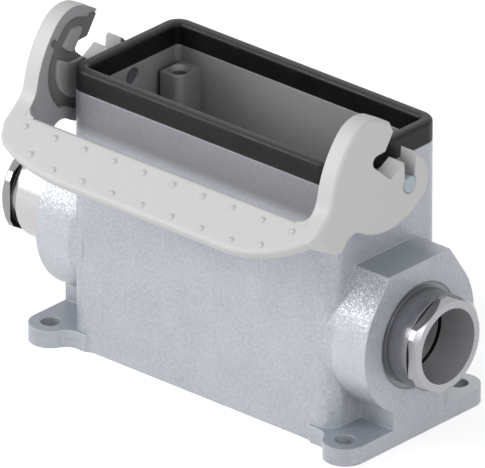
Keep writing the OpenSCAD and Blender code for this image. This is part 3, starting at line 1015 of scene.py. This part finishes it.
@dataclass
class CableGlands:
    """The gland body and the hexagon nut at each end."""

    collar_radius: float = 13.4 * MM
    bore_radius: float = 10.5 * MM
    shank_radius: float = 12.12 * MM
    hexagon: float = 2.95 * MM
    lead_in: float = 0.8 * MM
    hairline: float = 0.12 * MM
    boss_face: float = 58.5 * MM
    seat_depth: float = 9.8 * MM
    nut_gaps: dict[Side, float] = field(default_factory=lambda: {
        Side.LEFT: 2.4 * MM, Side.RIGHT: 0.18 * MM})
    chamfers: dict[Side, float] = field(default_factory=lambda: {
        Side.LEFT: 0.3 * MM, Side.RIGHT: 0.08 * MM})
    # The right sleeve and the left nut are darker copies of the nickel: painted shade. The nuts' rear
    # colour is painted shade on their rear faces.
    sleeves: dict[Side, TurnedMetal] = field(default_factory=lambda: {
        Side.LEFT: TurnedMetal(name="bright_sleeve_nickel"),
        Side.RIGHT: TurnedMetal(name="shaded_sleeve_nickel", colour=(0.325, 0.325, 0.345),
                                dull=(0.245, 0.245, 0.26))})
    nuts: dict[Side, TurnedMetal] = field(default_factory=lambda: {
        Side.LEFT: TurnedMetal(
            name="shaded_nut_nickel", colour=(0.35, 0.35, 0.36), dull=(0.29, 0.29, 0.30),
            rear=(0.03, 0.03, 0.03), end_face_shading=(0.32, 0.32, 0.33), roughness=0.24, pitch_mm=0.4, bump_mm=0.003),
        Side.RIGHT: TurnedMetal(
            name="nut_nickel", colour=(0.40, 0.40, 0.42), dull=(0.34, 0.34, 0.36),
            rear=(0.03, 0.03, 0.03), end_face_shading=(0.42, 0.42, 0.445), roughness=0.2, pitch_mm=0.4, bump_mm=0.003)})

    def sleeve(self, side: Side) -> bpy.types.Object:
        """Turns the gland body of one end, its collar led up to the nut.

        Args:
            side: The end it belongs to.

        Returns:
            The sleeve, in the place of the CAD node.
        """
        node = side.piece("gland_body")
        low, high = (Vector(corner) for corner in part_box(node))
        nut_low, nut_high = (Vector(corner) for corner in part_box(side.piece("gland_nut")))
        if side is Side.RIGHT:
            inner, rear = low.x, nut_high.x - self.hexagon
        else:
            inner, rear = -high.x, -nut_low.x - self.hexagon
        thread, chamfer = (high.y - low.y) / 2.0, self.chamfers[side]
        mouth, seat = rear - self.nut_gaps[side], rear - self.seat_depth
        step, flush = self.boss_face - self.lead_in, self.boss_face - self.hairline
        flange = thread + self.lead_in - self.hairline
        profile = [(self.bore_radius, inner), (thread, inner), (thread, step), (flange, flush),
                   (self.collar_radius, flush), (self.collar_radius, mouth - chamfer),
                   (self.collar_radius - chamfer, mouth), (self.shank_radius, mouth),
                   (self.shank_radius, seat), (self.bore_radius, seat)]
        piece = turned(side.piece("gland_sleeve"), [(radius, side.value * x) for radius, x in profile],
                       (high.z + low.z) / 2.0)
        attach(piece, "housing")
        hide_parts(node)
        LOG.info("built %s", piece.name)
        return piece

    def build(self) -> None:
        """Builds the sleeves and dresses the nuts."""
        for side in Side:
            self.sleeve(side).data.materials.append(self.sleeves[side].material())
            dress(side.piece("gland_nut"), self.nuts[side].material())


# Studio


@dataclass(frozen=True)
class SoftBox:
    """One soft lamp."""

    name: str
    place: tuple[float, float, float]
    size: float
    watts: float
    aim: tuple[float, float, float] = (0.0, 0.0, 0.045)

    def build(self) -> None:
        """Adds the lamp."""
        data = bpy.data.lights.new(self.name, "AREA")
        data.shape = "SQUARE"
        data.size = self.size
        data.energy = self.watts
        lamp = bpy.data.objects.new(self.name, data)
        lamp.location = self.place
        way = Vector(self.aim) - Vector(self.place)
        lamp.rotation_euler = way.to_track_quat("-Z", "Y").to_euler()
        bpy.context.scene.collection.objects.link(lamp)


@dataclass(frozen=True)
class PaleFloor:
    """The floor that keeps the object's shadow, and shows the camera near white."""

    half: float = 3.0
    sink: float = 0.05 * MM
    shades: tuple[Colour, Colour] = ((0.86, 0.86, 0.86), (0.88, 0.88, 0.88))
    seen_colour: Colour = (0.55, 0.55, 0.55)
    cloud_scale: float = 3.0
    roughness: float = 0.9
    glow: float = 0.68

    def material(self) -> bpy.types.Material:
        """Builds the floor's material, which glows only where it is seen.

        Returns:
            The material.
        """
        material, wire, shader, out = new_material("pale_floor")
        place = wire.add("TexCoord").outputs["Object"]
        cloud = wire.add("TexNoise", {"Vector": place, "Scale": self.cloud_scale}).outputs[0]
        seen = wire.seen()
        shader.inputs["Roughness"].default_value = self.roughness
        colour = wire.blend(seen, wire.blend(cloud, *self.shades), self.seen_colour)
        wire.join(shader, {"Base Color": colour})
        glow = wire.add("Emission", {"Color": (*WHITE, 1.0), "Strength": self.glow})
        dark = wire.add("Emission", {"Strength": 0.0})
        lift = wire.add("MixShader", {0: seen, 1: dark.outputs[0], 2: glow.outputs[0]})
        total = wire.add("AddShader", {0: shader.outputs[0], 1: lift.outputs[0]})
        wire.join(out, {"Surface": total.outputs[0]})
        return material

    def build(self) -> None:
        """Lays the floor."""
        mesh = bpy.data.meshes.new("floor")
        half, level = self.half, -self.sink
        corners = [(-half, -half, level), (half, -half, level), (half, half, level), (-half, half, level)]
        mesh.from_pydata(corners, [], [(0, 1, 2, 3)])
        floor = bpy.data.objects.new("floor", mesh)
        bpy.context.scene.collection.objects.link(floor)
        mesh.materials.append(self.material())


@dataclass
class Studio:
    """World, floor and lamps, and the camera with the photograph's view."""

    azimuth: float = 41.948
    elevation: float = 26.0315
    pixels_per_metre: float = 3765.3
    image_width: float = 485.0
    lens_mm: float = 1500.0
    sensor_mm: float = 36.0
    clip_end: float = 40.0
    across: float = -3.0016 * MM
    above: float = 35.836 * MM
    sky: Colour = (0.985, 0.99, 1.0)
    bright_way: tuple[float, float, float] = (0.10, -0.98, 0.15)
    bright_mean: float = 0.50
    bright_swing: float = 0.40
    bright_least: float = 0.03
    floor: PaleFloor = field(default_factory=PaleFloor)
    boxes: tuple[SoftBox, ...] = (
        SoftBox("key_box", (-0.84, -0.91, 0.66), 0.5, 7.0),
        SoftBox("right_box", (1.1, -0.35, 0.45), 0.6, 2.6),
    )

    def camera(self) -> None:
        """Sets the camera where the photograph was taken from."""
        turn, lift = math.radians(self.azimuth), math.radians(self.elevation)
        right = Vector((math.cos(turn), math.sin(turn), 0.0))
        back = Vector((math.sin(turn) * math.cos(lift), -math.cos(turn) * math.cos(lift), math.sin(lift)))
        up = back.cross(right)
        distance = self.lens_mm / self.sensor_mm * self.image_width / self.pixels_per_metre
        data = bpy.data.cameras.new("photo_camera")
        data.lens = self.lens_mm
        data.sensor_width = self.sensor_mm
        data.clip_end = self.clip_end
        camera = bpy.data.objects.new("photo_camera", data)
        camera.location = back * distance + right * self.across + up * self.above
        camera.rotation_euler = (-back).to_track_quat("-Z", "Y").to_euler()
        bpy.context.scene.collection.objects.link(camera)
        bpy.context.scene.camera = camera

    def world(self) -> None:
        """Lights the surroundings from the front, and shows the camera plain white."""
        world = bpy.data.worlds.new("studio")
        bpy.context.scene.world = world
        world.use_nodes = True
        world.node_tree.nodes.clear()
        wire = Wiring(world.node_tree)
        way = wire.add("TexCoord").outputs["Generated"]
        along = wire.add("VectorMath", {0: way, 1: self.bright_way}, operation="DOT_PRODUCT")
        swing = wire.product(along.outputs["Value"], self.bright_swing)
        level = wire.math("ADD", swing, self.bright_mean)
        held = wire.math("MAXIMUM", level, self.bright_least)
        sky = wire.add("Background", {"Color": (*self.sky, 1.0), "Strength": held})
        plain = wire.add("Background", {"Color": (*WHITE, 1.0), "Strength": 1.0})
        mixed = wire.add("MixShader", {0: wire.seen(), 1: sky.outputs[0], 2: plain.outputs[0]})
        wire.add("OutputWorld", {"Surface": mixed.outputs[0]})

    def build(self) -> None:
        """Builds the whole studio."""
        self.camera()
        self.world()
        self.floor.build()
        for box in self.boxes:
            box.build()
        bpy.context.scene.view_settings.view_transform = "Standard"
        LOG.info("studio ready with %d lamps", len(self.boxes))


def main() -> None:
    """Builds the studio and dresses each sub-assembly in order."""
    logging.basicConfig(level=logging.INFO, format="%(name)s: %(message)s")
    Studio().build()
    for part in (HousingCasting(), RubberSeals(), LockingLever(), PivotPins(), CableGlands()):
        part.build()
        LOG.info("finished %s", type(part).__name__)


if __name__ == "__main__":
    main()
